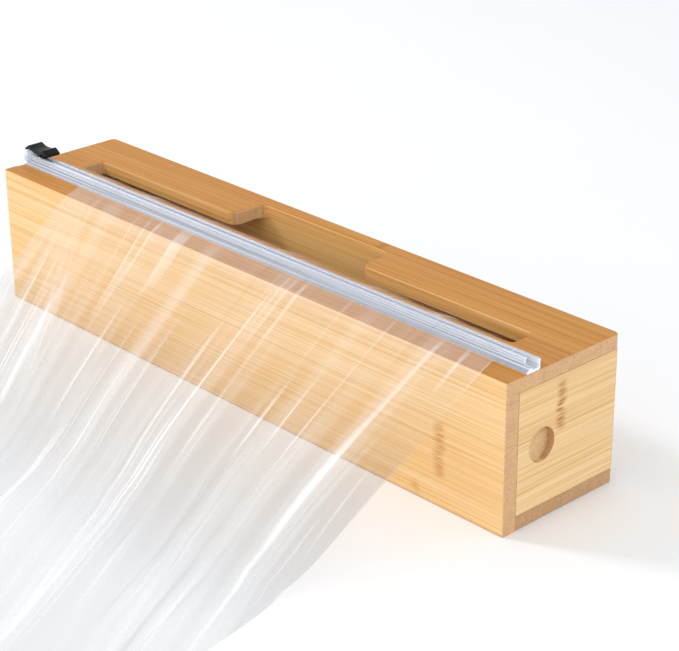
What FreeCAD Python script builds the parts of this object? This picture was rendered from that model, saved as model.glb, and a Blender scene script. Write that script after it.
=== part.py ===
"""Cling film dispenser: a bamboo box with a loose film roll, a slot in its lid,
a clear cutter track with a sliding cutter, and an end door that slides rearwards.

Millimetres. X runs along the box (the door is at +X), Y from front to rear, +Z up.
The origin is the middle of the underside of the box.
"""
import FreeCAD, Part
import math
import os

V = FreeCAD.Vector

# ---------------------------------------------------------------- driving sizes
film_width = 300.0             # the roll that the box is made for
film_thickness = 0.4
film_gap = 0.35                # film to the solid beside it
core_bore = 30.0
core_wall = 2.0
core_overhang = 2.0            # core past each end of the film
roll_diameter = 40.0
roll_gap = 0.3                 # roll to the chamber's floor and front
roll_end_room = 20.0           # core to the end boards

box_depth = 73.0
box_height = 73.0
front_thickness = 8.0
back_thickness = 8.0
end_thickness = 8.0
top_thickness = 7.0
bottom_thickness = 7.0
corner_radius = 3.0            # rear corners of the top and bottom plates, in plan
edge_radius = 1.0              # softened outer edges of the boards

slot_end_gap = 4.0             # film's edge to the end of the slot
slot_from_front = 31.9         # front face of the box to the slot's front edge
slot_width = 13.5
slot_corner_radius = 2.0
notch_length = 92.0            # finger notch, as far back as the back panel's inner face
notch_corner_radius = 5.0
lip_radius = 1.0               # softened rim of the slot

door_gap = 0.2                 # door to the boards around it
end_inset = 1.0                # rear edges of the end boards behind the rear face
tongue_height = 2.2
tongue_thickness = 3.0
tongue_gap = 0.1
thumb_diameter = 16.3
thumb_from_front = 23.4
thumb_depth = 3.8

tape_thickness = 0.4
tape_margin = 0.4
track_from_front = 12.2
track_width = 8.4
track_base = 0.9
track_nose = 0.7               # deck height at its front edge
deck_root = 2.2                # deck height where it meets the rib
rib_from_nose = 3.4
wall_thickness = 1.0
rib_height = 4.6
wall_height = 4.8
flange_height = 0.7
rib_flange = 0.6
wall_flange = 0.8
rib_cut_back = 4.5             # rib stops short of the right end, where the cutter is fitted
stop_diameter = 7.4
stop_thickness = 2.4

slide_gap = 0.1                # cutter foot to the track's channel
foot_length = 12.7
neck_length = 5.0
neck_thickness = 1.3
cap_length = 19.4
cap_depth = 8.8
cap_lift = 2.6                 # cap underside above the track
cap_peak = 3.4
cap_dip = 2.1
cap_tip = 1.1                  # thickness of the wing tips
cap_arch = 1.0                 # hollow under each wing
peak_from_tip = 3.3
cap_parking = 0.6              # cap's left tip to the box's left end
blade_thickness = 0.4
blade_overhang = 1.5           # blade past each side of the neck
blade_depth = 2.4              # blade below the cap's underside
blade_hold = 1.2               # blade inside the cap

slope_run = 97.0               # front face to where the drawn film meets the counter
drawn_run = 225.0              # front face to the far end of the drawn film
gather_left = 25.0             # film's left edge, drawn in from the end of the roll
past_at_track = 8.0            # film's right edge past the end of the roll: at the track,
past_at_front = 12.0           # at the front edge of the box,
past_at_counter = 1.5          # where the film meets the counter,
past_at_end = 25.0             # and at its far end
track_bend = 0.6               # bends of the film's underside: over the track,
lip_bend = 3.0                 # over an edge of the box,
counter_bend = 60.0            # and where it comes down on the counter

# ---------------------------------------------------------------- worked-out places
core_length = film_width + 2 * core_overhang
box_length = core_length + 2 * (roll_end_room + end_thickness)
slot_length = film_width + 2 * slot_end_gap

left = -box_length / 2
right = box_length / 2
front = -box_depth / 2
rear = box_depth / 2
floor_top = bottom_thickness
lid_under = box_height - top_thickness
behind_front = front + front_thickness
before_back = rear - back_thickness

track_front = front + track_from_front
track_under = box_height + tape_thickness
rib_front = track_front + rib_from_nose
rib_rear = rib_front + wall_thickness
wall_front = track_front + track_width - wall_thickness
track_rear = track_front + track_width
mouth_front = rib_rear + rib_flange
mouth_rear = wall_front - wall_flange
mouth_middle = (mouth_front + mouth_rear) / 2
rib_top = track_under + rib_height
wall_top = track_under + wall_height

slot_front = front + slot_from_front
slot_rear = slot_front + slot_width
notch_radius = min(notch_corner_radius, 0.45 * (before_back - slot_rear))

cap_middle_x = left + cap_parking + cap_length / 2
cap_under = wall_top + cap_lift

roll_radius = roll_diameter / 2
core_radius = core_bore / 2 + core_wall
roll_y = behind_front + roll_gap + roll_radius
roll_z = floor_top + roll_gap + roll_radius


# ---------------------------------------------------------------- helpers
def block(x0, x1, y0, y1, z0, z1):
    return Part.makeBox(x1 - x0, y1 - y0, z1 - z0, V(x0, y0, z0))


def prism_along_x(points, x0, x1):
    """Closed outline of (y, z) points, drawn out from x0 to x1."""
    corners = [V(x0, y, z) for y, z in points]
    face = Part.Face(Part.makePolygon(corners + corners[:1]))
    return face.extrude(V(x1 - x0, 0, 0))


def round_edges(solid, radius, wanted):
    edges = [edge for edge in solid.Edges if wanted(edge)]
    return solid.makeFillet(radius, edges)


def on_plane(edge, axis, value):
    """True when every end of the edge lies at this value of x, y or z."""
    return all(abs(getattr(v.Point, axis) - value) < 1e-4 for v in edge.Vertexes)


def upright(edge, x, y):
    """True for a vertical edge that stands at (x, y)."""
    at = [abs(v.X - x) < 1e-4 and abs(v.Y - y) < 1e-4 for v in edge.Vertexes]
    return len(at) == 2 and all(at)


def unit(dy, dz):
    length = math.hypot(dy, dz)
    return dy / length, dz / length


def moved_sideways(path, distance):
    """The (y, z) path shifted to its left by the distance, with mitred corners."""
    runs = [unit(b[0] - a[0], b[1] - a[1]) for a, b in zip(path, path[1:])]
    moved = []
    for i, (y, z) in enumerate(path):
        beside = runs[max(i - 1, 0):i + 1]
        ny = sum(run[1] for run in beside) / len(beside)
        nz = -sum(run[0] for run in beside) / len(beside)
        scale = distance / (ny * ny + nz * nz)
        moved.append((y + ny * scale, z + nz * scale))
    return moved


def bend(before, corner, after, radius):
    """Start, middle and end of the arc that rounds a corner."""
    u = unit(before[0] - corner[0], before[1] - corner[1])
    w = unit(after[0] - corner[0], after[1] - corner[1])
    half = math.acos(u[0] * w[0] + u[1] * w[1]) / 2
    back = radius / math.tan(half)
    inward = unit(u[0] + w[0], u[1] + w[1])
    rise = radius / math.sin(half) - radius
    start = (corner[0] + u[0] * back, corner[1] + u[1] * back)
    middle = (corner[0] + inward[0] * rise, corner[1] + inward[1] * rise)
    end = (corner[0] + w[0] * back, corner[1] + w[1] * back)
    return start, middle, end


def edges_along(path, radii, x):
    """Straight runs joined by arcs, in the plane at x."""
    edges = []
    last = path[0]
    for before, corner, after, radius in zip(path, path[1:], path[2:], radii):
        start, middle, end = bend(before, corner, after, radius)
        edges.append(Part.LineSegment(V(x, *last), V(x, *start)))
        edges.append(Part.Arc(V(x, *start), V(x, *middle), V(x, *end)))
        last = end
    edges.append(Part.LineSegment(V(x, *last), V(x, *path[-1])))
    return [edge.toShape() for edge in edges]


def film_strip(path, radii, x0, x1):
    """Sheet of film whose underside follows the (y, z) path, with bends of these radii."""
    upper = moved_sideways(path, film_thickness)
    upper_radii = []
    for before, corner, after, radius in zip(path, path[1:], path[2:], radii):
        into = (corner[0] - before[0], corner[1] - before[1])
        out = (after[0] - corner[0], after[1] - corner[1])
        turn = into[0] * out[1] - into[1] * out[0]
        upper_radii.append(radius + math.copysign(film_thickness, turn))
    ends = [Part.LineSegment(V(x0, *path[i]), V(x0, *upper[i])).toShape() for i in (0, -1)]
    edges = edges_along(path, radii, x0) + edges_along(upper, upper_radii, x0) + ends
    face = Part.Face(Part.Wire(Part.__sortEdges__(edges)))
    return face.extrude(V(x1 - x0, 0, 0))


# ---------------------------------------------------------------- the bamboo box
def front_panel():
    board = block(left, right, front, behind_front, 0, box_height)
    return round_edges(board, edge_radius, lambda e: on_plane(e, "y", front))


def back_panel():
    return block(left + end_thickness, right - end_thickness - door_gap,
                 before_back, rear, floor_top, lid_under)


def plate(z0, z1):
    """Full-length board behind the front panel, with rounded rear corners."""
    board = block(left, right, behind_front, rear, z0, z1)
    corners = ((left, rear), (right, rear))
    return round_edges(board, corner_radius, lambda e: any(upright(e, *c) for c in corners))


def outer_rim(edge, z):
    """True for an edge of the plate's outline at this height, apart from the front one."""
    inside = [abs(v.X) < right - corner_radius - 1 and v.Y < before_back + 1 for v in edge.Vertexes]
    return on_plane(edge, "z", z) and not any(inside) and not on_plane(edge, "y", behind_front)


def slot_rim(edge):
    beyond = [abs(v.X) > slot_length / 2 + 1 or v.Y > before_back + 1 for v in edge.Vertexes]
    return on_plane(edge, "z", box_height) and not any(beyond)


def door_groove(z_face, upwards):
    """Space for one of the door's tongues, open at the rear."""
    middle = right - end_thickness / 2
    half = tongue_thickness / 2 + tongue_gap
    depth = tongue_height + tongue_gap
    z0, z1 = (z_face, z_face + depth) if upwards else (z_face - depth, z_face)
    return block(middle - half, middle + half, behind_front, rear, z0, z1)


def slot_cutter():
    """Film slot and finger notch in one upright prism, with its corners rounded."""
    z0, z1 = lid_under, box_height
    slot = block(-slot_length / 2, slot_length / 2, slot_front, slot_rear, z0, z1)
    notch = block(-notch_length / 2, notch_length / 2, slot_front, before_back, z0, z1)
    shape = slot.fuse(notch).removeSplitter()
    slot_corners = [(s * slot_length / 2, y) for s in (-1, 1) for y in (slot_front, slot_rear)]
    notch_corners = [(s * notch_length / 2, y) for s in (-1, 1) for y in (slot_rear, before_back)]
    shape = round_edges(shape, slot_corner_radius,
                        lambda e: any(upright(e, *c) for c in slot_corners))
    return round_edges(shape, notch_radius,
                       lambda e: any(upright(e, *c) for c in notch_corners))


def top_plate():
    board = plate(lid_under, box_height).cut(slot_cutter())
    board = round_edges(board, edge_radius, lambda e: outer_rim(e, box_height))
    board = round_edges(board, lip_radius, slot_rim)
    return board.cut(door_groove(lid_under, True))


def bottom_plate():
    board = round_edges(plate(0, bottom_thickness), edge_radius, lambda e: outer_rim(e, 0))
    return board.cut(door_groove(floor_top, False))


def end_board(x_outer, x_inner, y0, z0, z1):
    """Upright end board with its outer rear edge softened."""
    y1 = rear - end_inset
    board = block(min(x_outer, x_inner), max(x_outer, x_inner), y0, y1, z0, z1)
    return round_edges(board, edge_radius, lambda e: upright(e, x_outer, y1))


def left_end_panel():
    return end_board(left, left + end_thickness, behind_front, floor_top, lid_under)


def thumb_recess():
    """Round recess whose floor slopes from flush at its front to full depth at its rear."""
    radius = thumb_diameter / 2
    y = front + thumb_from_front
    z = box_height / 2
    hole = Part.makeCylinder(radius, thumb_depth, V(right - thumb_depth, y, z), V(1, 0, 0))
    wedge = Part.Face(Part.makePolygon([
        V(right, y - radius, z - radius),
        V(right, y + radius, z - radius),
        V(right - thumb_depth, y + radius, z - radius),
        V(right, y - radius, z - radius)]))
    return hole.common(wedge.extrude(V(0, 0, thumb_diameter)))


def end_door():
    y0, y1 = behind_front + door_gap, rear - end_inset
    board = end_board(right, right - end_thickness, y0, floor_top + door_gap, lid_under - door_gap)
    middle = right - end_thickness / 2
    tongues = block(middle - tongue_thickness / 2, middle + tongue_thickness / 2, y0, y1,
                    floor_top - tongue_height, lid_under + tongue_height)
    return board.fuse(tongues).removeSplitter().cut(thumb_recess())


# ---------------------------------------------------------------- the cutter track
def track_tape():
    return block(left + stop_thickness, right, track_front + tape_margin, track_rear - tape_margin,
                 box_height, track_under)


def cutter_track():
    """Clear extrusion: sloping deck, rib, channel, and rear wall, both with a lip."""
    lip_z = flange_height
    outline = [
        (track_front, track_under),
        (track_rear, track_under),
        (track_rear, wall_top),
        (mouth_rear, wall_top),
        (mouth_rear, wall_top - lip_z),
        (wall_front, wall_top - lip_z),
        (wall_front, track_under + track_base),
        (rib_rear, track_under + track_base),
        (rib_rear, rib_top - lip_z),
        (mouth_front, rib_top - lip_z),
        (mouth_front, rib_top),
        (rib_front, rib_top),
        (rib_front, track_under + deck_root),
        (track_front, track_under + track_nose),
    ]
    rail = prism_along_x(outline, left + stop_thickness, right)
    notch = block(right - rib_cut_back, right, rib_front, mouth_front,
                  track_under + track_base, rib_top)
    return rail.cut(notch)


def track_end_stop():
    """Clear round end piece, squared off where it stands on the lid."""
    middle = (track_front + track_rear) / 2
    radius = stop_diameter / 2
    centre = V(left, middle, box_height + radius)
    disc = Part.makeCylinder(radius, stop_thickness, centre, V(1, 0, 0))
    foot = block(left, left + stop_thickness, middle - radius, middle + radius,
                 box_height, track_under)
    return disc.fuse(foot).removeSplitter()


# ---------------------------------------------------------------- the cutter
def cutter_foot():
    """Shoe that runs in the track's channel, with the neck that carries the cap."""
    y0, y1 = rib_rear + slide_gap, wall_front - slide_gap
    z0 = track_under + track_base + slide_gap
    z1 = rib_top - flange_height - slide_gap
    shoe = block(cap_middle_x - foot_length / 2, cap_middle_x + foot_length / 2, y0, y1, z0, z1)
    neck = block(cap_middle_x - neck_length / 2, cap_middle_x + neck_length / 2,
                 mouth_middle - neck_thickness / 2, mouth_middle + neck_thickness / 2,
                 z1, cap_under)
    return shoe.fuse(neck).removeSplitter().cut(cutter_blade())


def cutter_cap():
    """Saddle-shaped finger piece: two raised wings with a dip between them."""
    half = cap_length / 2
    peak = half - peak_from_tip
    z = cap_under
    y0 = mouth_middle - cap_depth / 2

    def at(x, height):
        return V(cap_middle_x + x, y0, z + height)

    root = neck_length / 2
    wing = (root + half) / 2
    edges = [
        Part.LineSegment(at(-root, 0), at(root, 0)),
        Part.Arc(at(root, 0), at(wing, cap_arch), at(half, 0)),
        Part.LineSegment(at(half, 0), at(half, cap_tip)),
        Part.LineSegment(at(half, cap_tip), at(peak, cap_peak)),
        Part.Arc(at(peak, cap_peak), at(0, cap_dip), at(-peak, cap_peak)),
        Part.LineSegment(at(-peak, cap_peak), at(-half, cap_tip)),
        Part.LineSegment(at(-half, cap_tip), at(-half, 0)),
        Part.Arc(at(-half, 0), at(-wing, cap_arch), at(-root, 0)),
    ]
    face = Part.Face(Part.Wire([edge.toShape() for edge in edges]))
    cap = face.extrude(V(0, cap_depth, 0))
    peaks = [V(cap_middle_x + s * peak, 0, z + cap_peak) for s in (-1, 1)]
    cap = round_edges(cap, cap_tip / 2, lambda e: any(
        all(abs(v.X - p.x) < 1e-4 and abs(v.Z - p.z) < 1e-4 for v in e.Vertexes) for p in peaks))
    return cap.cut(cutter_blade())


def cutter_blade():
    """Pointed steel blade, held in the neck and the cap, sharp on both upright edges."""
    half = neck_length / 2 + blade_overhang
    top = cap_under + blade_hold
    low = cap_under - blade_depth
    y0 = mouth_middle - blade_thickness / 2
    tip = neck_length / 2
    corners = [V(cap_middle_x + x, y0, z) for x, z in
               ((-half, cap_under), (-half, top), (half, top), (half, cap_under),
                (tip, low), (-tip, low), (-half, cap_under))]
    return Part.Face(Part.makePolygon(corners)).extrude(V(0, blade_thickness, 0))


# ---------------------------------------------------------------- the film
def tube(outer, inner, length):
    start = V(-length / 2, roll_y, roll_z)
    return Part.makeCylinder(outer, length, start, V(1, 0, 0)).cut(
        Part.makeCylinder(inner, length, start, V(1, 0, 0)))


def roll_core():
    return tube(core_radius, core_bore / 2, core_length)


def film_roll():
    return tube(roll_radius, core_radius, film_width)


def film_web():
    """Film from the top of the roll, up through the slot and on to the track's rear wall."""
    lip = (slot_front + film_gap, box_height + film_gap)
    dy, dz = roll_y - lip[0], roll_z - lip[1]
    distance = math.hypot(dy, dz)
    clear = roll_radius + film_gap
    turn = math.asin(clear / distance)
    reach = math.sqrt(distance ** 2 - clear ** 2)
    angle = math.atan2(dz, dy) + turn
    touch = (lip[0] + reach * math.cos(angle), lip[1] + reach * math.sin(angle))
    over_wall = (track_rear, wall_top + film_gap)
    end = (mouth_rear + film_gap, wall_top + film_gap)
    return film_strip([touch, lip, over_wall, end], [lip_bend, track_bend],
                      -film_width / 2, film_width / 2)


def film_sheet():
    """Drawn film: from the rib over the front edge, down to the counter and along it."""
    path = [
        (mouth_front - film_gap, rib_top + film_gap),
        (rib_front, rib_top + film_gap),
        (front - film_gap, box_height + film_gap),
        (front - slope_run, 0),
        (front - drawn_run, 0),
    ]
    sheet = film_strip(path, [track_bend, lip_bend, counter_bend], left, right)
    half = film_width / 2
    start, over_front, meets, end = path[0][0], path[2][0], path[3][0], path[4][0]
    right_edge = [(half + past_at_track, start), (half + past_at_front, over_front),
                  (half + past_at_counter, meets), (half + past_at_end, end)]
    left_edge = [(gather_left - half, end), (gather_left - half, start)]
    corners = [V(x, y, 0) for x, y in right_edge + left_edge]
    outline = Part.Face(Part.makePolygon(corners + corners[:1]))
    return sheet.common(outline.extrude(V(0, 0, 2 * box_height)))


# ---------------------------------------------------------------- write every piece
pieces = [front_panel, back_panel, top_plate, bottom_plate, left_end_panel, end_door,
          track_tape, cutter_track, track_end_stop,
          cutter_foot, cutter_cap, cutter_blade,
          roll_core, film_roll, film_web, film_sheet]

os.makedirs("parts", exist_ok=True)
for piece in pieces:
    shape = piece()
    assert shape.isValid() and len(shape.Solids) == 1, piece.__name__
    shape.exportStep("parts/" + piece.__name__ + ".step")
    size = shape.BoundBox
    print(f"{piece.__name__:16s} x {size.XMin:8.2f} {size.XMax:8.2f}  y {size.YMin:8.2f} "
          f"{size.YMax:8.2f}  z {size.ZMin:7.2f} {size.ZMax:7.2f}  volume {shape.Volume:10.1f}")
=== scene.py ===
# %% [markdown]
# # A bamboo cling film dispenser
#
# The box, its sliding door, the cutter and the roll come from the CAD frame, which is loaded
# first and never moved. This lesson gives those pieces their finish, and models again the few
# that need softer edges or real folds: the film, the clear track, the cutter and the roll.

# %% Load the frame
import math
import bmesh
import bpy
import numpy as np
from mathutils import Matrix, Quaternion, Vector


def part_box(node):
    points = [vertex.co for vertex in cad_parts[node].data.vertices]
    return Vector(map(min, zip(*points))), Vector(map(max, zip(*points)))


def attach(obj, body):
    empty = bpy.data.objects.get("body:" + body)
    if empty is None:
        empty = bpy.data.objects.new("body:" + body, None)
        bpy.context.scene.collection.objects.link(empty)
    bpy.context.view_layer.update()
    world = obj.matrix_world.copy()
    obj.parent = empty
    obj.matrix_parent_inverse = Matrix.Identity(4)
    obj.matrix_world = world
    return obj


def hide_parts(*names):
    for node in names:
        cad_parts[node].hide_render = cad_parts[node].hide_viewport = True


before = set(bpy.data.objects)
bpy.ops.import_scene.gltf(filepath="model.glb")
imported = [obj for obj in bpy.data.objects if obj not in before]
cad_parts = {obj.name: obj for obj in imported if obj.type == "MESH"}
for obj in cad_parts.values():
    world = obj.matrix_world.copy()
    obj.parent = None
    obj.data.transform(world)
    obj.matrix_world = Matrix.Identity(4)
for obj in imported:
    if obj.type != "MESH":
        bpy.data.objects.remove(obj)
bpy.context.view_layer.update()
MM = 0.001
print("nodes:", sorted(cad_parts))

# %% [markdown]
# ## Where things are
#
# Places are read off the frame, so that nothing has to be fitted by eye. The front board gives
# the front face, both ends and the height, and the lid gives the rear. Each smaller piece is
# measured in the same way, where it is first needed.

# %% Landmarks
front_low, front_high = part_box("front_panel")
lid_low, lid_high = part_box("top_plate")
box_front, box_left, box_right = front_low.y, front_low.x, front_high.x
box_rear, box_top = lid_high.y, front_high.z
box_middle = Vector((0, (box_front + box_rear) / 2, box_top / 2))
print("box (mm):", round((box_right - box_left) / MM), round((box_rear - box_front) / MM),
      round(box_top / MM))

# %% [markdown]
# ## Camera
#
# The camera looks from beyond the right-hand front corner and from above the lid, so that the
# front, the lid and the door all show. A short lens close up would exaggerate the near corner.
# This long one stands a metre from its aim, low on the rear board, and keeps the box's
# proportions. Angles are in degrees, and the lens and its sensor in millimetres.

# %% Camera
view_azimuth, view_elevation, view_roll = 46.97, 24.45, -0.46
view_distance, lens, sensor = 1.0, 105.4, 36
nearest, farthest = 0.01, 50
aim = Vector((3.1 * MM, box_rear - 1.5 * MM, 19.1 * MM))


def camera_looking_at(point):
    """Camera that looks at the point from the chosen angle, rolled a little."""
    a, e = math.radians(view_azimuth), math.radians(view_elevation)
    back = Vector((math.sin(a) * math.cos(e), -math.cos(a) * math.cos(e), math.sin(e)))
    data = bpy.data.cameras.new("camera")
    data.lens, data.sensor_width = lens, sensor
    data.clip_start, data.clip_end = nearest, farthest
    camera = bpy.data.objects.new("camera", data)
    bpy.context.scene.collection.objects.link(camera)
    camera.rotation_mode = "QUATERNION"
    turn = Quaternion((0, 0, 1), math.radians(view_roll))
    camera.rotation_quaternion = (-back).to_track_quat("-Z", "Y") @ turn
    camera.location = point + back * view_distance
    return camera


bpy.context.scene.camera = camera_looking_at(aim)
print("camera at", [round(x, 3) for x in bpy.context.scene.camera.location])

# %% [markdown]
# ## Light
#
# The object stands in plain studio light. An even white sky lifts every shadow, and softboxes
# give it direction: a low, wide one lights the front, a small one at the upper left throws the
# shadow inside the notch, and one at the right lights the door. A sun would be simpler, but its
# hard shadows would hide the film's faint folds.

# %% Light
scene = bpy.context.scene
scene.view_settings.view_transform = "Standard"


def plain_sky(strength):
    """White world light from all sides."""
    world = bpy.data.worlds.new("sky")
    world.use_nodes = True
    background = world.node_tree.nodes["Background"]
    background.inputs["Color"].default_value = (1, 1, 1, 1)
    background.inputs["Strength"].default_value = strength
    scene.world = world


def softbox(name, place, size, watts):
    """Square area light at the place, turned to the middle of the box."""
    data = bpy.data.lights.new(name, "AREA")
    data.size, data.energy = size, watts
    lamp = bpy.data.objects.new(name, data)
    scene.collection.objects.link(lamp)
    lamp.location = place
    lamp.rotation_mode = "QUATERNION"
    lamp.rotation_quaternion = (box_middle - Vector(place)).to_track_quat("-Z", "Y")


plain_sky(0.84)
softbox("front_softbox", (-0.10, -1.70, 0.50), size=0.9, watts=5)
softbox("left_softbox", (-1.05, -0.60, 1.10), size=0.30, watts=8)
softbox("door_softbox", (1.60, -0.35, 0.60), size=0.7, watts=5)

# %% [markdown]
# ## Writing a finish as nodes
#
# A finish is a tree of nodes. It could be drawn in the shader editor, but a few short helpers
# let a script say the same in readable steps. Patterns are noises on Object coordinates, in
# millimetres, so that a number in the code is a size that can be checked with a ruler, and the
# pattern stays on the piece when the piece moves.

# %% Start a material
def material(name):
    """New node material, with its tree emptied but for the output."""
    made = bpy.data.materials.new(name)
    made.use_nodes = True
    tree = made.node_tree
    tree.nodes.clear()
    tree.nodes.new("ShaderNodeOutputMaterial")
    return made, tree


def node(tree, kind, **settings):
    """New node of this kind, with these settings."""
    made = tree.nodes.new("ShaderNode" + kind)
    for key, value in settings.items():
        setattr(made, key, value)
    return made


def put(tree, socket, value):
    """Joins a socket to another one, or gives it a number or a colour."""
    if isinstance(value, bpy.types.NodeSocket):
        tree.links.new(value, socket)
    elif socket.type == "RGBA":
        socket.default_value = (*value[:3], 1)
    else:
        socket.default_value = value


# %% Sums, mixes and ramps
def maths(tree, operation, *values, clamp=False):
    """Result of a Math node on these sockets and numbers."""
    made = node(tree, "Math", operation=operation, use_clamp=clamp)
    for socket, value in zip(made.inputs, values):
        put(tree, socket, value)
    return made.outputs[0]


def blended(tree, share, a, b):
    """Colour that goes from a to b as the share goes from 0 to 1."""
    made = node(tree, "Mix", data_type="RGBA")
    put(tree, made.inputs["Factor"], share)
    put(tree, made.inputs["A"], a)
    put(tree, made.inputs["B"], b)
    return made.outputs["Result"]


def ramp(tree, value, low, high):
    """0 below low, 1 above high, smooth between."""
    made = node(tree, "MapRange", interpolation_type="SMOOTHSTEP")
    put(tree, made.inputs["Value"], value)
    made.inputs["From Min"].default_value = low
    made.inputs["From Max"].default_value = high
    return made.outputs["Result"]


def sum_of(tree, *parts):
    """Sum of socket times number, one pair each, kept between 0 and 1."""
    total = 0.0
    for count, (socket, number) in enumerate(parts, 1):
        total = maths(tree, "MULTIPLY_ADD", socket, number, total, clamp=count == len(parts))
    return total


# %% Patterns in millimetres
def vector_of(tree, *parts):
    """Vector made of these sockets and numbers."""
    made = node(tree, "CombineXYZ")
    for socket, part in zip(made.inputs, parts):
        put(tree, socket, part)
    return made.outputs[0]


def stretched(tree, places, sizes):
    """Vector on which a noise has patches of these sizes. A place may be a plain number."""
    return vector_of(tree, *[maths(tree, "DIVIDE", place, size) if size else place
                             for place, size in zip(places, sizes)])


def noise(tree, vector, detail=2.0):
    """Soft random pattern from 0 to 1; more detail adds finer layers."""
    made = node(tree, "TexNoise")
    put(tree, made.inputs["Vector"], vector)
    made.inputs["Scale"].default_value = 1.0
    made.inputs["Detail"].default_value = detail
    return made.outputs["Fac"]


def millimetres(tree):
    """The three Object coordinates, in millimetres."""
    place = node(tree, "VectorMath", operation="SCALE")
    put(tree, place.inputs[0], node(tree, "TexCoord").outputs["Object"])
    place.inputs["Scale"].default_value = 1 / MM
    parts = node(tree, "SeparateXYZ")
    put(tree, parts.inputs[0], place.outputs[0])
    return dict(zip("XYZ", parts.outputs))


# %% Relief and the main shader
def bumped(tree, height, strength, distance):
    """Normal of a surface with this relief."""
    made = node(tree, "Bump")
    put(tree, made.inputs["Height"], height)
    made.inputs["Strength"].default_value = strength
    made.inputs["Distance"].default_value = distance
    return made.outputs["Normal"]


def principled(tree, **values):
    """Principled shader with these sockets set, joined to the output."""
    made = node(tree, "BsdfPrincipled")
    for key, value in values.items():
        put(tree, made.inputs[key.replace("_", " ")], value)
    put(tree, tree.nodes["Material Output"].inputs["Surface"], made.outputs[0])
    return made


# %% [markdown]
# ## Counter
#
# The object stands on a plain pale counter, which isn't part of it. One plane is enough, and
# it reaches six metres to each side, so that a view from another angle doesn't run off it. A
# trace of mottling keeps it from looking like paper.

# %% Counter
counter_size = 12


def counter_finish():
    """Near white, with faint patches about 100 mm wide."""
    made, tree = material("counter_white")
    mottling = noise(tree, stretched(tree, millimetres(tree).values(), (100, 100, 100)))
    tone = blended(tree, mottling, (0.915, 0.935, 0.965), (0.935, 0.955, 0.985))
    principled(tree, Base_Color=tone, Roughness=0.6, Specular_IOR_Level=0.2)
    return made


bpy.ops.object.select_all(action="DESELECT")
bpy.ops.mesh.primitive_plane_add(size=counter_size, location=(0, 0, 0))
counter = bpy.context.object
counter.name = "counter"
counter.data.materials.append(counter_finish())
print("counter (m):", [round(x) for x in counter.dimensions])

# %% [markdown]
# ## Bamboo
#
# The boards are glued up from bamboo strips. Long fibres run one way and show as fine lines;
# the culm's joints show as columns of short brown dashes; and where a board is cut across, the
# fibres end as dots. A board's narrow edges show the strips from the side, which is a deeper
# orange. An image could show all this, but would stretch over edges and repeat. So one function
# mixes noises, and is told which way a board's fibres run.

# %% Joints of the culm
end_fade = 2
dashes_per_mm = (0.10, 1.7)
wander_per_mm = 0.22


def joint_marks(tree, along, across, place, spread, low, high):
    """Share of brown dashes in a column across the grain, between two heights."""
    drifting = vector_of(tree, maths(tree, "MULTIPLY", across, wander_per_mm), place, 0.0)
    wander = maths(tree, "MULTIPLY", noise(tree, drifting), spread * 1.4)
    middle = maths(tree, "ADD", wander, place - spread * 0.7)
    side = maths(tree, "DIVIDE", maths(tree, "SUBTRACT", along, middle), spread)
    near = ramp(tree, maths(tree, "ABSOLUTE", side), 1.0, 0.0)
    inside = maths(tree, "MULTIPLY", ramp(tree, across, low - end_fade, low + end_fade),
                   ramp(tree, across, high + end_fade, high - end_fade))
    dashed = vector_of(tree, maths(tree, "MULTIPLY", along, dashes_per_mm[0]),
                       maths(tree, "MULTIPLY", across, dashes_per_mm[1]), place)
    dashes = ramp(tree, noise(tree, dashed, detail=1), 0.40, 0.62)
    marks = maths(tree, "MULTIPLY", dashes, near)
    stain = maths(tree, "MULTIPLY", near, 0.18)
    return maths(tree, "MULTIPLY", maths(tree, "ADD", marks, stain), inside, clamp=True)


# %% Cut ends of the fibres
fibre_bundle = 0.8
end_patch = 5


def cut_end(tree, across, through, seam, tone):
    """Colour and relief of the fibres' cut ends."""
    places = (0.0, across, through)
    cell = node(tree, "TexVoronoi", feature="F1")
    put(tree, cell.inputs["Vector"], stretched(tree, places, (0, fibre_bundle, fibre_bundle)))
    cell.inputs["Scale"].default_value = 1.0
    dots = ramp(tree, cell.outputs["Distance"], 0.50, 0.10)
    patches = noise(tree, stretched(tree, places, (0, end_patch, end_patch)))
    end = blended(tree, patches, [x * 0.86 for x in tone], [min(x * 1.14, 1) for x in tone])
    end = blended(tree, maths(tree, "MULTIPLY", dots, 0.60), end, [x * 0.52 for x in tone])
    end = blended(tree, maths(tree, "MULTIPLY", seam, 0.35), end, [x * 0.55 for x in tone])
    return end, cell.outputs["Distance"]


# %% Strips and their grain
strip_shift = 57.3
seam_half, seam_core = 0.40, 0.10


def strips(tree, across, glue_lines, strip_depths):
    """Each strip's depth of colour, the shift of its grain, and the seams between strips."""
    depth, shift, seam = strip_depths[0], 0.0, 0.0
    for line, before, after in zip(glue_lines, strip_depths, strip_depths[1:]):
        past = maths(tree, "GREATER_THAN", across, line)
        depth = maths(tree, "MULTIPLY_ADD", past, after - before, depth)
        shift = maths(tree, "MULTIPLY_ADD", past, strip_shift, shift)
        away = maths(tree, "ABSOLUTE", maths(tree, "SUBTRACT", across, line))
        seam = maths(tree, "MAXIMUM", seam, ramp(tree, away, seam_half, seam_core))
    return depth, shift, seam


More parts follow.
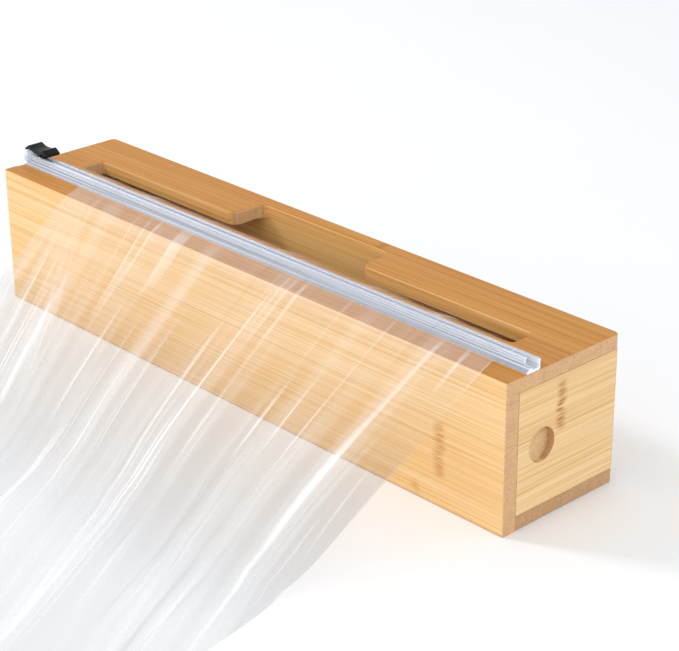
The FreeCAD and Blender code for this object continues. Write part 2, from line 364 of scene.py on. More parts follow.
def grain(tree, places):
    """Depth of colour from bands, lines, hairs and streaks, and the lines and hairs alone."""
    def fibres(length, width, detail):
        return noise(tree, stretched(tree, places, (length, width, width)), detail)

    bands, lines, hairs = fibres(260, 9, 2), fibres(150, 1.05, 2), fibres(90, 0.52, 1)
    streaks = ramp(tree, fibres(190, 1.2, 2), 0.61, 0.66)
    depth = sum_of(tree, (ramp(tree, bands, 0.32, 0.68), 0.16),
                   (ramp(tree, lines, 0.47, 0.58), 0.34),
                   (ramp(tree, hairs, 0.47, 0.56), 0.40), (streaks, 0.40))
    return depth, lines, hairs


# %% The bamboo finish
joint_brown = (0.68, 0.50, 0.38)


def bamboo(name, fibres_along, width_along, light, deep, edge_light, edge_deep, end_tone,
           glue_lines=(), strip_depths=(0,), joints=(), end_shows=(0.55, 0.85)):
    """Finish of a board whose fibres and width run along these axes.

    glue_lines are places across the board. Each joint is its place along the board, its
    half width, the two heights that it runs between, and how strong it is. end_shows is how
    far a face turns towards the fibres' ends before they start to show, and show fully.
    """
    made, tree = material(name)
    at = millimetres(tree)
    thickness_along = next(a for a in "XYZ" if a not in (fibres_along, width_along))
    along, across, through = at[fibres_along], at[width_along], at[thickness_along]
    strip_depth, shift, seam = strips(tree, across, glue_lines, strip_depths)
    shifted = (maths(tree, "ADD", along, shift), maths(tree, "ADD", across, shift), through)
    depth, lines, hairs = grain(tree, shifted)
    depth = maths(tree, "ADD", depth, strip_depth, clamp=True)
    brown = [x * share for x, share in zip(deep, joint_brown)]
    face = blended(tree, depth, light, deep)
    for place, spread, low, high, strength in joints:
        marks = joint_marks(tree, along, across, place, spread, low, high)
        face = blended(tree, maths(tree, "MULTIPLY", marks, strength), face, brown)
    face = blended(tree, maths(tree, "MULTIPLY", seam, 0.40), face, brown)
    edge = blended(tree, depth, edge_light, edge_deep)
    end, end_relief = cut_end(tree, across, through, seam, end_tone)

    normal = node(tree, "SeparateXYZ")
    put(tree, normal.inputs[0], node(tree, "TexCoord").outputs["Normal"])
    facing = {a: maths(tree, "ABSOLUTE", normal.outputs[a]) for a in "XYZ"}
    on_edge = ramp(tree, facing[width_along], 0.60, 0.90)
    cut_across = ramp(tree, facing[fibres_along], *end_shows)
    side = blended(tree, on_edge, face, edge)
    relief = blended(tree, cut_across, hairs, end_relief)
    shader = principled(tree, Base_Color=blended(tree, cut_across, side, end),
                        Roughness=maths(tree, "MULTIPLY_ADD", lines, 0.16, 0.40),
                        Specular_IOR_Level=0.24)
    put(tree, shader.inputs["Normal"], bumped(tree, relief, 0.25, 0.15 * MM))
    return made


def give(node_name, finish):
    """The CAD node shows this finish all over."""
    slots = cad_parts[node_name].data.materials
    slots.clear()
    slots.append(finish)
    print(node_name, "->", finish.name)


# %% Bamboo on each board
front_mm, rear_mm = box_front / MM, box_rear / MM
honey, deep_honey = (0.87, 0.605, 0.325), (0.76, 0.44, 0.155)
amber, deep_amber = (0.60, 0.280, 0.062), (0.46, 0.180, 0.026)
warm, deep_warm = (0.88, 0.585, 0.26), (0.76, 0.42, 0.12)
pale, deep_pale = (0.86, 0.63, 0.34), (0.70, 0.42, 0.17)
lid_edge, deep_lid_edge = (0.88, 0.52, 0.20), (0.68, 0.34, 0.09)
end_tan = (0.66, 0.40, 0.205)
front_bamboo = bamboo("front_bamboo", "X", "Z", honey, deep_honey, amber, deep_amber, end_tan,
                      glue_lines=(42.5, 63), strip_depths=(0.12, -0.08, 0.10),
                      joints=((142, 5, 15, 41, 0.75), (128, 4, 2, 7, 0.5)))
lid_bamboo = bamboo("lid_bamboo", "X", "Y", amber, deep_amber, lid_edge, deep_lid_edge, end_tan,
                    glue_lines=(front_mm + 23, front_mm + 42, front_mm + 60),
                    strip_depths=(0, 0.12, -0.06, 0.06),
                    joints=((37, 4, front_mm + 60, rear_mm, 0.6),))
floor_bamboo = bamboo("floor_bamboo", "X", "Y", amber, deep_amber, amber, deep_amber,
                      [x * 0.80 for x in end_tan],
                      glue_lines=(front_mm + 19, front_mm + 38, front_mm + 56),
                      strip_depths=(0.1, 0, 0.1, -0.05))
side_bamboo = bamboo("side_bamboo", "X", "Z", warm, deep_warm, amber, deep_amber, end_tan,
                     glue_lines=(25, 48), strip_depths=(0.05, -0.08, 0.12),
                     joints=((-96, 5, 26, 47, 0.7),))
door_bamboo = bamboo("door_bamboo", "Y", "Z", pale, deep_pale, pale, deep_pale,
                     [x * 0.9 for x in end_tan], glue_lines=(17, 41), strip_depths=(-0.14, 0.02, 0.10),
                     joints=((front_mm + 35, 4.4, 40, 63, 1.0),), end_shows=(0.05, 0.36))
for board, finish in (("front_panel", front_bamboo), ("back_panel", side_bamboo),
                      ("top_plate", lid_bamboo), ("bottom_plate", floor_bamboo),
                      ("left_end_panel", door_bamboo), ("end_door", door_bamboo)):
    give(board, finish)

# %% [markdown]
# ## Working in edit mode
#
# The small pieces are shaped with Blender's own operators. An operator acts on whatever is
# selected, so these helpers clear the selection, then select corners, edges or faces by place.

# %% Select and finish
def edit(piece):
    """Only this piece is selected, and it is in edit mode with nothing in it selected."""
    bpy.ops.object.select_all(action="DESELECT")
    bpy.context.view_layer.objects.active = piece
    piece.select_set(True)
    bpy.ops.object.mode_set(mode="EDIT")
    bpy.ops.mesh.select_all(action="DESELECT")


def pick(piece, kind, wanted):
    """Selects the corners, edges or faces that are wanted."""
    bpy.ops.mesh.select_all(action="DESELECT")
    bpy.ops.mesh.select_mode(type=kind)
    mesh = bmesh.from_edit_mesh(piece.data)
    for item in {"VERT": mesh.verts, "EDGE": mesh.edges, "FACE": mesh.faces}[kind]:
        item.select_set(bool(wanted(item)))
    mesh.select_flush_mode()
    bmesh.update_edit_mesh(piece.data)


def done(piece, smooth_below=35):
    """Back to object mode, faces outwards, smooth except across sharp edges."""
    bpy.ops.mesh.select_all(action="SELECT")
    bpy.ops.mesh.normals_make_consistent(inside=False)
    bpy.ops.object.mode_set(mode="OBJECT")
    bpy.ops.object.shade_smooth_by_angle(angle=math.radians(smooth_below))
    print(piece.name, "has", len(piece.data.polygons), "faces")


# %% Soften and stand in
def bevelled(piece, width, segments=2, angle=30):
    """Rounds the piece's edges with a Bevel modifier, which is applied."""
    bevel = piece.modifiers.new("soft edges", "BEVEL")
    bevel.width, bevel.segments, bevel.limit_method = width, segments, "ANGLE"
    bevel.angle_limit = math.radians(angle)
    bpy.ops.object.modifier_apply(modifier=bevel.name)


def stands_for(piece, node_name, body, finish):
    """The piece rides on the body with this finish, and the CAD node is hidden."""
    piece.data.materials.clear()
    piece.data.materials.append(finish)
    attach(piece, body)
    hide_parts(node_name)


merge_below = 0.005 * MM
flat_below = math.radians(1)


def softened(name, node_name, width):
    """New piece: the CAD node's shape with its edges rounded to this width."""
    piece = bpy.data.objects.new(name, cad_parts[node_name].data.copy())
    piece.data.name = name
    scene.collection.objects.link(piece)
    edit(piece)
    bpy.ops.mesh.select_all(action="SELECT")
    bpy.ops.mesh.remove_doubles(threshold=merge_below)
    bpy.ops.mesh.dissolve_limited(angle_limit=flat_below)
    bpy.ops.object.mode_set(mode="OBJECT")
    bevelled(piece, width)
    edit(piece)
    done(piece)
    return piece


# %% [markdown]
# ## Clear track, end stop and tape
#
# The track is a clear extrusion stuck down with white foam tape, which is why it looks pale
# blue instead of orange. Sawing leaves its ends frosted white. Pale lines along its length are
# painted highlights, standing in for the light that its long ridges catch. Its profile could be
# drawn again, but the CAD shape is right already. Only its edges are too sharp: each rounded
# edge of clear plastic is a bright line. So these pieces are the CAD shapes with their edges
# rounded. Lamps have to reach the tape through them, so the shader lets shadow rays pass.

# %% Clear plastic
def clear_plastic(name, tints, frosting, extruded):
    """Clear plastic that is frosted all over, or if extruded, at its ends and in painted highlight
    lines along its length.
    """
    made, tree = material(name)
    at = millimetres(tree)
    places = at.values()
    draw_lines = noise(tree, stretched(tree, places, (120, 0.7, 0.7)), detail=2)
    tint = blended(tree, ramp(tree, draw_lines, 0.40, 0.60), *tints)
    clear = principled(tree, Base_Color=tint, Roughness=0.06, IOR=1.46, Transmission_Weight=1.0)
    passing = node(tree, "BsdfTransparent")
    passing.inputs["Color"].default_value = (0.95, 0.97, 1.0, 1)
    lit = node(tree, "MixShader")
    shadow_ray = node(tree, "LightPath").outputs["Is Shadow Ray"]
    put(tree, lit.inputs[0], maths(tree, "MAXIMUM", shadow_ray, 0.55))
    put(tree, lit.inputs[1], clear.outputs[0])
    put(tree, lit.inputs[2], passing.outputs[0])
    speckle = noise(tree, stretched(tree, places, (0.5, 0.5, 0.5)))
    frost = node(tree, "BsdfDiffuse")
    put(tree, frost.inputs["Color"], blended(tree, speckle, (0.80, 0.87, 1.0), (0.91, 0.95, 1.0)))
    mixed = node(tree, "MixShader")
    mixed.inputs[0].default_value = frosting
    if extruded:
        normal = node(tree, "SeparateXYZ")
        put(tree, normal.inputs[0], node(tree, "TexCoord").outputs["Normal"])
        on_cut = ramp(tree, maths(tree, "ABSOLUTE", normal.outputs["X"]), 0.6, 0.95)
        share = maths(tree, "MULTIPLY", on_cut, frosting)
        # Pale lines along the track: painted highlights for the light that its long ridges catch.
        painted_light_lines = noise(tree, stretched(tree, places, (260, 0.45, 0.45)), detail=1)
        share = maths(tree, "MULTIPLY_ADD", ramp(tree, painted_light_lines, 0.44, 0.56), 0.34, share)
        put(tree, mixed.inputs[0], maths(tree, "ADD", share, 0.34, clamp=True))
    put(tree, mixed.inputs[1], lit.outputs[0])
    put(tree, mixed.inputs[2], frost.outputs[0])
    put(tree, tree.nodes["Material Output"].inputs["Surface"], mixed.outputs[0])
    return made


# %% Speckled finish
def speckled(name, low, high, size, roughness, bump, **more):
    """Finish with an even grain of this size, in mm."""
    made, tree = material(name)
    speckle = noise(tree, stretched(tree, millimetres(tree).values(), [size] * 3), detail=3)
    rough = maths(tree, "MULTIPLY_ADD", speckle, 0.2, roughness - 0.1)
    shader = principled(tree, Base_Color=blended(tree, speckle, low, high), Roughness=rough, **more)
    put(tree, shader.inputs["Normal"], bumped(tree, speckle, bump, 0.1 * MM))
    return made


# %% Track and end stop
track_finish = clear_plastic("clear_track", ((0.70, 0.80, 0.97), (0.98, 0.99, 1.0)),
                             frosting=0.75, extruded=True)
stop_finish = clear_plastic("clear_end_stop", ((0.86, 0.88, 0.92), (0.94, 0.95, 0.97)),
                            frosting=0.52, extruded=False)
track = softened("clear_cutter_track", "cutter_track", 0.12 * MM)
stands_for(track, "cutter_track", "case", track_finish)
end_stop = softened("clear_end_stop", "track_end_stop", 0.30 * MM)
stands_for(end_stop, "track_end_stop", "case", stop_finish)
give("track_tape", speckled("foam_tape", (0.78, 0.85, 1.0), (0.90, 0.94, 1.0), size=0.6,
                            roughness=0.8, bump=0.3))

# %% [markdown]
# ## Cutter
#
# The cutter is moulded in black plastic: a foot in the track, and a saddle for the finger that
# rises to a ridge on each side of a dip. A sculpted lump would be too soft for a moulding, so
# the saddle starts as a block, is bisected across its length, and each cut's top and bottom
# corners are lifted or lowered. A keel, extruded from its underside, holds the small steel
# blade that just shows beneath.

# %% Black plastic and the saddle's profile
black = speckled("black_plastic_finish", (0.004, 0.004, 0.005), (0.009, 0.009, 0.010), size=0.7,
                 roughness=0.36, bump=0.15, Specular_IOR_Level=0.16)
cap_low, cap_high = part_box("cutter_cap")
cap_middle = (cap_low + cap_high) / 2
cap_size = cap_high - cap_low
saddle_half = cap_size.x / 2
# Share of the half length: (height of the top, lift of the underside), in millimetres.
saddle_profile = {0.90: (1.9, 0.35), 0.66: (3.33, 0.95), 0.48: (2.75, 0.85), 0.30: (2.1, 0.3),
                  0.12: (1.9, 0.0), 1.0: (1.2, 0.0)}
print("cap (mm):", [round(x / MM, 1) for x in cap_size])


# %% Saddle
def at_station(corner, station, top):
    """True for a corner of the saddle at this share of its half length, on top or below."""
    away = abs(abs(corner.co.x - cap_middle.x) - station * saddle_half)
    return away < 0.01 * MM and (corner.co.z > cap_middle.z) == top


def saddle():
    """Block as large as the cap, cut at each station and moved to the profile."""
    bpy.ops.object.select_all(action="DESELECT")
    bpy.ops.mesh.primitive_cube_add(size=1, location=cap_middle, scale=cap_size)
    piece = bpy.context.object
    piece.name = piece.data.name = "cutter_saddle"
    bpy.ops.object.transform_apply(location=True, rotation=True, scale=True)
    edit(piece)
    for station in saddle_profile:
        for side in (-1, 1):
            if station < 1:
                bpy.ops.mesh.select_all(action="SELECT")
                at = cap_middle + Vector((side * station * saddle_half, 0, 0))
                bpy.ops.mesh.bisect(plane_co=at, plane_no=(1, 0, 0))
    for station, (top, bottom) in saddle_profile.items():
        pick(piece, "VERT", lambda c: at_station(c, station, True))
        bpy.ops.transform.translate(value=(0, 0, top * MM - cap_size.z))
        pick(piece, "VERT", lambda c: at_station(c, station, False))
        bpy.ops.transform.translate(value=(0, 0, bottom * MM))
    return piece


# %% Keel under the saddle
keel_depth = 1.5 * MM


def keel_under(piece, depth):
    """Extrudes the middle of the underside down, narrowing to the blade."""
    near = 0.32 * saddle_half
    pick(piece, "FACE", lambda f: f.normal.z < -0.7 and
         abs(f.calc_center_median().x - cap_middle.x) < near)
    bpy.ops.mesh.extrude_region_move(TRANSFORM_OT_translate={"value": (0, 0, -depth)})
    middle = (cap_middle.x, cap_low.y + 0.3 * cap_size.y, cap_low.z - depth)
    bpy.ops.transform.resize(value=(0.50, 0.35, 1), center_override=middle)


cutter_saddle = saddle()
keel_under(cutter_saddle, keel_depth)
bpy.ops.object.mode_set(mode="OBJECT")
bevelled(cutter_saddle, 0.28 * MM, segments=3, angle=20)
edit(cutter_saddle)
done(cutter_saddle, 50)
stands_for(cutter_saddle, "cutter_cap", "cutter", black)
give("cutter_foot", black)

# %% Blade
steel = speckled("blade_finish", (0.60, 0.61, 0.63), (0.78, 0.79, 0.81), size=0.3,
                 roughness=0.25, bump=0.1, Metallic=1.0)
blade = softened("ground_blade", "cutter_blade", 0.05 * MM)
stands_for(blade, "cutter_blade", "cutter", steel)

# %% [markdown]
# ## Roll
#
# The film is wound on a cardboard tube. A profile could be spun round the axis, but it is
# simpler to start each from a cylinder: its ends are inset to the bore, with shallow steps
# where the winding drifted sideways, and the two bores are bridged. The wound film looks milky
# because hundreds of layers lie on each other.

# %% Tube with stepped ends
def tube_piece(name, low, high, steps):
    """Tube along X that fills the box, with (radius, depth) steps from its rim to its bore."""
    middle, size = (low + high) / 2, high - low
    bpy.ops.object.select_all(action="DESELECT")
    bpy.ops.mesh.primitive_cylinder_add(vertices=96, radius=size.z / 2, depth=size.x,
                                        location=middle, rotation=(0, math.pi / 2, 0))
    piece = bpy.context.object
    piece.name = piece.data.name = name
    bpy.ops.object.transform_apply(location=True, rotation=True, scale=True)
    edit(piece)
    at = size.z / 2
    for radius, sunk in steps:
        pick(piece, "FACE", lambda f: abs(f.normal.x) > 0.9 and len(f.verts) > 4)
        bpy.ops.mesh.inset(thickness=at - radius, depth=-sunk)
        at = radius
    pick(piece, "FACE", lambda f: abs(f.normal.x) > 0.9 and len(f.verts) > 4)
    bpy.ops.mesh.bridge_edge_loops()
    done(piece)
    return piece


# %% Wound film and cardboard finishes
def wound_finish():
    """Milky film whose lighter rings, bands and patches are painted sheen; the bands also give relief.
    """
    made, tree = material("wound_film_finish")
    places = (millimetres(tree)["X"], 0.0, 0.0)
    bands = noise(tree, stretched(tree, places, (2.2, 0, 0)), detail=3)
    soft = noise(tree, stretched(tree, places, (30, 0, 0)))
    # Lighter bands round the roll are painted sheen; the same bands give real relief below.
    tone = blended(tree, ramp(tree, bands, 0.35, 0.7), (0.66, 0.70, 0.74), (0.80, 0.83, 0.87))
    # Broad lighter patches: painted sheen.
    tone = blended(tree, maths(tree, "MULTIPLY", soft, 0.4), tone, (0.90, 0.92, 0.95))
    shader = principled(tree, Base_Color=tone, Roughness=0.22, Coat_Weight=0.4, Coat_Roughness=0.1)
    put(tree, shader.inputs["Normal"], bumped(tree, bands, 0.2, 0.2 * MM))
    return made


helix_pitch = 62


def cardboard_finish(middle):
    """Grey-brown board, with the seam of its paper strip going round as a helix."""
    made, tree = material("cardboard_finish")
    at = millimetres(tree)
    turn = maths(tree, "ARCTAN2", maths(tree, "SUBTRACT", at["Z"], middle.z / MM),
                 maths(tree, "SUBTRACT", at["Y"], middle.y / MM))
    turns_here = maths(tree, "DIVIDE", turn, 2 * math.pi)
    turns_along = maths(tree, "DIVIDE", at["X"], helix_pitch)
    helix = maths(tree, "FRACT", maths(tree, "ADD", turns_along, turns_here))
    seam = ramp(tree, maths(tree, "ABSOLUTE", maths(tree, "SUBTRACT", helix, 0.5)), 0.012, 0.004)
    fibres = noise(tree, stretched(tree, at.values(), (0.9, 0.9, 0.9)), detail=4)
    tone = blended(tree, fibres, (0.36, 0.25, 0.155), (0.54, 0.41, 0.28))
    tone = blended(tree, maths(tree, "MULTIPLY", seam, 0.6), tone, (0.20, 0.13, 0.08))
    shader = principled(tree, Base_Color=tone, Roughness=0.85)
    put(tree, shader.inputs["Normal"], bumped(tree, fibres, 0.3, 0.2 * MM))
    return made


# %% Wound film and core
roll_low, roll_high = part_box("film_roll")
core_low, core_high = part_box("roll_core")
core_radius = (core_high.z - core_low.z) / 2
core_wall, core_lip = 2 * MM, 0.3 * MM
wound = tube_piece("wound_film", roll_low, roll_high,
                   ((19.4 * MM, -0.12 * MM), (18.7 * MM, 0.20 * MM), (17.8 * MM, -0.15 * MM),
                    (core_radius + 0.01 * MM, 0.10 * MM)))
stands_for(wound, "film_roll", "roll", wound_finish())
core = tube_piece("cardboard_core", core_low, core_high,
                  ((core_radius - core_lip, 0.0), (core_radius - core_wall, 0.0)))
stands_for(core, "roll_core", "roll", cardboard_finish((core_low + core_high) / 2))

# %% [markdown]
# ## Film
#
# From the roll, the film goes up through the slot to the track. The drawn length is pulled taut
# over the front edge, comes down to the counter, and lies there. A cloth simulation could drape
# it, but film under tension has a plain shape: straight runs joined by arcs. So each sheet
# starts as a grid, and its rows are laid along such a line.

# %% Line of a sheet
def rounded_line(points, radii, step):
    """Points a step apart or less along straight runs joined by arcs, in (y, z)."""
    line = [np.array(points[0])]
    for before, corner, after, radius in zip(points, points[1:], points[2:], radii):
        u = (np.array(before) - corner) / math.dist(before, corner)
        v = (np.array(after) - corner) / math.dist(after, corner)
        half = math.acos(float(u @ v)) / 2
        back = radius / math.tan(half)
        centre = corner + (u + v) / np.linalg.norm(u + v) * radius / math.sin(half)
        start, end = corner + u * back, corner + v * back
        turn = math.pi - 2 * half
        count = max(3, int(radius * turn / step) + 1)
        a0 = math.atan2(*(start - centre)[::-1])
        sign = math.copysign(1, (start - centre)[0] * (end - centre)[1]
                             - (start - centre)[1] * (end - centre)[0])
        line += [centre + radius * np.array((math.cos(a0 + sign * turn * i / count),
                                             math.sin(a0 + sign * turn * i / count)))
                 for i in range(count + 1)]
    line.append(np.array(points[-1]))
    return np.array(line)


def along_line(line, count):
    """Distances and points at evenly spaced places along the line."""
    gaps = np.hypot(*np.diff(line, axis=0).T)
    where = np.concatenate([[0], np.cumsum(gaps)])
    s = np.linspace(0, where[-1], count)
    return s, np.stack([np.interp(s, where, line[:, k]) for k in (0, 1)], 1)


# %% Grid along a line
places_on_line = 900


def sheet_piece(name, columns, rows, line):
    """Grid piece and, for each of its points, u across it, distance along it, y and z."""
    bpy.ops.object.select_all(action="DESELECT")
    bpy.ops.mesh.primitive_grid_add(x_subdivisions=columns, y_subdivisions=rows, size=2)
    piece = bpy.context.object
    piece.name = piece.data.name = name
    flat = np.array([v.co[:2] for v in piece.data.vertices])
    s, points = along_line(line, places_on_line)
    along = (flat[:, 1] + 1) / 2 * s[-1]
    y, z = (np.interp(along, s, points[:, k]) for k in (0, 1))
    return piece, (flat[:, 0] + 1) / 2, along, y, z


def place_sheet(piece, x, y, z, white, across, along):
    """Moves the grid's points, and keeps the fold attribute and a map in metres."""
    mesh = piece.data
    mesh.vertices.foreach_set("co", np.stack([x, y, z], 1).astype(np.float32).ravel())
    fold = mesh.attributes.new("fold", "FLOAT", "POINT")
    fold.data.foreach_set("value", white.astype(np.float32))
    loops = np.zeros(len(mesh.loops), int)
    mesh.loops.foreach_get("vertex_index", loops)
    while mesh.uv_layers:
        mesh.uv_layers.remove(mesh.uv_layers[0])
    flat = np.stack([across, along], 1)[loops].astype(np.float32)
    mesh.uv_layers.new(name="film_map").data.foreach_set("uv", flat.ravel())
    bpy.ops.object.shade_smooth()
    mesh.update()


# %% [markdown]
# ## Folds
#
# Film is so thin that only its folds show. A fold is a low ridge that runs with the pull, and
# where the film was bunched at the left end of the track, the folds fan out. The ridges are
# moved vertices, from a fixed seed, because real height catches real light from every side.
# They are also kept as an attribute, which paints a white highlight along each fold.

# %% Folds of the film
fold_random = np.random.default_rng(7)
touches_counter, easy_turn = 0.125, 0.030


def drift(share, along):
    """How far sideways a fold has run at this distance, in metres.

    share is the fold's place across the film. Folds fan out from the bunched left end, and
    turn further to the right once the film lies on the counter.
    """
    lean = np.interp(share, (-0.3, 0, 0.15, 0.45, 1), (0.34, 0.33, 0.22, 0.05, -0.08))
    turn = np.interp(share, (-0.3, 0, 0.3, 0.7, 1), (0.32, 0.36, 0.54, 0.56, 0.48))
    past = along - touches_counter
    return lean * along + turn * (past + np.hypot(past, easy_turn)) / 2


def fold_family(count, places, thickness, rises, starts, ends, lean=None):
    """Folds as (place, own lean or None, thickness, rise, start, end).

    place is a share of the film's width. Thickness and rise are given in millimetres, and
    start and end, measured along the film, in metres.
    """
    pick_from = fold_random.uniform
    return [(pick_from(*places), pick_from(*lean) if lean else None, pick_from(*thickness) * MM,
             pick_from(*rises) * MM, pick_from(*starts), pick_from(*ends))
            for _ in range(count)]


rises_over, dies_over = 10 * MM, 18 * MM


def film_folds(across, along, width, folds):
    """Height of the folds at each point, and how much painted highlight whitens the film there."""
    height = np.zeros_like(across)
    white = np.zeros_like(across)
    for place, lean, thick, rise, start, end in folds:
        run = drift(place, along) if lean is None else lean * along
        middle = place * width + run
        side = (across - middle) / (thick * (0.7 + 1.6 * along))
        fade = 1 / (1 + np.exp((start - along) / rises_over))
        fade = fade / (1 + np.exp((along - end) / dies_over))
        profile = np.where(side > 0, np.exp(-(2.4 * side) ** 2), np.exp(-np.abs(side) ** 1.5))
        height += rise * fade * profile
        # The white share is a painted highlight along each fold.
        white = np.maximum(white, min(rise / MM, 1) * fade * profile)
    return height, white


# %% Line of the drawn film
film_low, film_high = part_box("film_sheet")
track_low, track_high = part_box("cutter_track")
film_lift, clear_of_wood = 0.2 * MM, 0.5 * MM
rib_behind, slope_run = 3.4 * MM, 97 * MM
film_top = film_high.z - film_lift
floor_film = film_lift + 0.1 * MM
drawn_corners = [(film_high.y, film_top), (track_low.y + rib_behind, film_top),
                 (box_front - clear_of_wood, box_top + clear_of_wood),
                 (box_front - slope_run, floor_film), (film_low.y, floor_film)]
drawn_line = rounded_line(drawn_corners, (0.8 * MM, 3.2 * MM, 60 * MM), 0.5 * MM)
film_width = 300 * MM
# (distance along the film, place of its right edge), in millimetres.
right_edge = ((0, 165), (18, 167), (139, 151.5), (267, 175))


# %% Drawn film
side_margin = 1 * MM
taut_until, free_after = 6 * MM, 60 * MM


def drawn_film():
    """Drawn sheet, with bunched, broad and fine folds."""
    piece, u, along, y, z = sheet_piece("drawn_film", 430, 228, drawn_line)
    left = film_low.x + side_margin
    right = np.interp(along / MM, *zip(*right_edge)) * MM - side_margin
    across = u * film_width
    bunched = fold_family(9, places=(0, 0.04), thickness=(4, 8), rises=(0.5, 0.9),
                          starts=(0.02, 0.03), ends=(0.09, 0.14), lean=(0.08, 0.62))
    broad = fold_family(18, places=(-0.25, 0.97), thickness=(4, 10), rises=(0.2, 0.5),
                        starts=(0.0, 0.11), ends=(0.20, 0.38))
    fine = fold_family(20, places=(-0.25, 0.99), thickness=(3.0, 4.5), rises=(0.3, 0.6),
                       starts=(-0.03, 0.11), ends=(0.16, 0.38))
    height, white = film_folds(across, along, film_width, bunched + broad + fine)
    held = np.clip((along - taut_until) / free_after, 0.04, 1)
    flow = across - drift(u, along)
    place_sheet(piece, left + (right - left) * u, y, z + height * held, white, flow, along)
    return piece


# %% [markdown]
# ## Film from the roll
#
# The film leaves the top of the roll, bends over the slot's front lip, and ends on the track's
# rear wall, where the last piece was cut off. It is stretched, so it has no folds of its own. A
# few white creases, painted highlights, are enough to show that it is there.

# %% Film between the roll and the track
web_low, web_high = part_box("film_web")
lip_behind_track, clear_of_lip = 11.3 * MM, 0.35 * MM
slot_lip = track_high.y + lip_behind_track
web_corners = [(web_high.y, web_low.z), (slot_lip + clear_of_lip, box_top + clear_of_wood),
               (track_high.y, web_high.z - film_lift), (web_low.y, web_high.z - film_lift)]
web_line = rounded_line(web_corners, (3 * MM, 0.8 * MM), 0.4 * MM)
creases, groups = 40, 23


def web_film():
    """Stretched sheet with white creases, painted highlights, that come in groups."""
    piece, u, along, y, z = sheet_piece("film_from_roll", 300, 60, web_line)
    x = web_low.x + (web_high.x - web_low.x) * u
    crease = np.exp(-((u * creases) % 1 - 0.5) ** 2 / 0.01)
    # White creases in groups: painted highlights.
    white = 0.5 * crease * np.abs(np.sin(u * groups)) ** 3
    place_sheet(piece, x, y, z, white, u * film_width, along)
    return piece


# %% [markdown]
# ## Film finish
#
# Film is clear, and whitens only where light catches a fold. Glass would be slow and would bend
# what lies behind it. So the finish mixes a see-through shader with a little white, and lines
# choose where: the white is painted highlight along folds and streaks, and thin grey lines are
# painted shade beside them. The sheet's own map gives the finish two places in metres: along the
# film, and across it with the folds' drift taken off, so that a streak follows its fold. Film
# seen against the counter has a greyer tint than the film over the box. That is painted shade for
# the film's own shadow, deepest near the box's foot, where the box shades the counter.

# %% Film streaks
slice_per_lean = 40


def film_places(tree):
    """The map's two coordinates: across the flow of the folds, and along the film."""
    flat = node(tree, "SeparateXYZ")
    put(tree, flat.inputs[0], node(tree, "UVMap", uv_map="film_map").outputs[0])
    return flat.outputs[0], flat.outputs[1]


def film_streaks(tree, flow, along, width, length, lean):
    """Noise stretched along the film. Each lean takes its own slice of the noise."""
    places = (maths(tree, "MULTIPLY_ADD", along, -lean, flow), along, lean * slice_per_lean)
    return noise(tree, stretched(tree, places, (width, length, 0)), detail=1.0)


def film_creases(tree, flow, along, line, thin, gate, low, high):
    """Thin lines where a noise crosses its middle, kept where a second noise is high."""
    off = maths(tree, "SUBTRACT", film_streaks(tree, flow, along, *line), 0.5)
    crossing = ramp(tree, maths(tree, "ABSOLUTE", off), thin, thin * 0.2)
    kept = ramp(tree, film_streaks(tree, flow, along, *gate), low, high)
    return maths(tree, "MULTIPLY", crossing, kept)


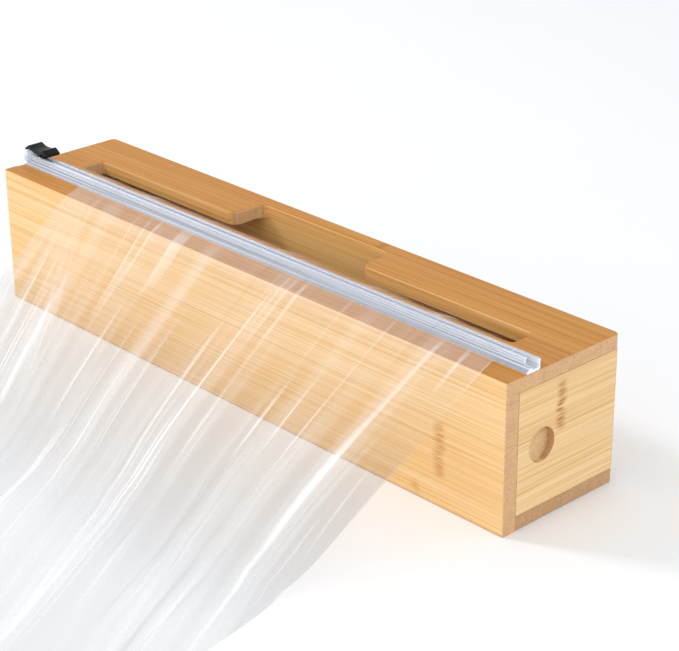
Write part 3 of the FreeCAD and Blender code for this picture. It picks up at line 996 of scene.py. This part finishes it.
# %% Film finish
def film_finish():
    """See-through film with a white veil of painted highlight on its lines and folds."""
    made, tree = material("film_finish")
    flow, along = film_places(tree)
    # Where the film is seen against the counter, and where its painted shade lightens away from the
    # box.
    against_counter = ramp(tree, along, 0.045, 0.090)
    spread = ramp(tree, along, 0.09, 0.19)
    past_track = ramp(tree, along, 0.005, 0.016)
    # Painted highlight where the film bends over the front edge.
    over_edge = maths(tree, "MULTIPLY", ramp(tree, along, 0.006, 0.010),
                      ramp(tree, along, 0.028, 0.018))
    # Broad bands of painted sheen, thin painted highlight lines and fine hairline highlights.
    wide = ramp(tree, film_streaks(tree, flow, along, 0.020, 0.60, 0.0), 0.46, 0.68)
    bright = film_creases(tree, flow, along, (0.030, 0.9, 0.05), 0.022,
                          (0.05, 0.10, 0.0), 0.42, 0.60)
    # Thin grey lines beside the folds: painted shade.
    painted_shade_lines = film_creases(tree, flow, along, (0.034, 0.8, -0.03), 0.020,
                        (0.06, 0.12, 0.1), 0.45, 0.60)
    hairline_highlights = film_creases(tree, flow, along, (0.016, 2.4, 0.03), 0.030,
                             (0.03, 0.16, 0.2), 0.46, 0.62)
    # The fold attribute carries the painted highlight along each ridge.
    fold = node(tree, "Attribute", attribute_name="fold").outputs["Fac"]
    lines = sum_of(tree, (wide, 0.24), (bright, 0.62), (hairline_highlights, 0.38), (fold, 0.55))
    # How strongly the lines paint highlights: more against the counter, none over the track.
    highlight_strength = maths(tree, "MULTIPLY_ADD", against_counter, 0.22, 0.38)
    highlight_strength = maths(tree, "MULTIPLY", past_track, highlight_strength)
    veil = maths(tree, "MULTIPLY_ADD", lines, highlight_strength,
                 maths(tree, "MULTIPLY_ADD", over_edge, 0.10, 0.05), clamp=True)
    # Painted shade: a greyer see-through tint against the counter, darkest near the box's foot.
    painted_shade_tint = blended(tree, spread, (0.73, 0.73, 0.73), (0.88, 0.88, 0.88))
    tint = blended(tree, against_counter, (0.965, 0.965, 0.965), painted_shade_tint)
    # The grey lines darken the see-through tint as painted shade.
    tint = blended(tree, maths(tree, "MULTIPLY", painted_shade_lines, 0.25), tint, (0.60, 0.60, 0.62))
    shader = principled(tree, Base_Color=(0.95, 0.96, 0.97), Roughness=0.35, IOR=1.5,
                        Specular_IOR_Level=0.3)
    passing = node(tree, "BsdfTransparent")
    put(tree, passing.inputs["Color"], tint)
    mixed = node(tree, "MixShader")
    put(tree, mixed.inputs[0], veil)
    put(tree, mixed.inputs[1], passing.outputs[0])
    put(tree, mixed.inputs[2], shader.outputs[0])
    unshaded = node(tree, "BsdfTransparent")
    unshaded.inputs["Color"].default_value = (0.97, 0.97, 0.97, 1)
    lit = node(tree, "MixShader")
    put(tree, lit.inputs[0], node(tree, "LightPath").outputs["Is Shadow Ray"])
    put(tree, lit.inputs[1], mixed.outputs[0])
    put(tree, lit.inputs[2], unshaded.outputs[0])
    put(tree, tree.nodes["Material Output"].inputs["Surface"], lit.outputs[0])
    return made


# %% Both sheets
film = film_finish()
drawn = drawn_film()
stands_for(drawn, "film_sheet", "case", film)
web = web_film()
stands_for(web, "film_web", "case", film)
print("sheets:", drawn.name, web.name)
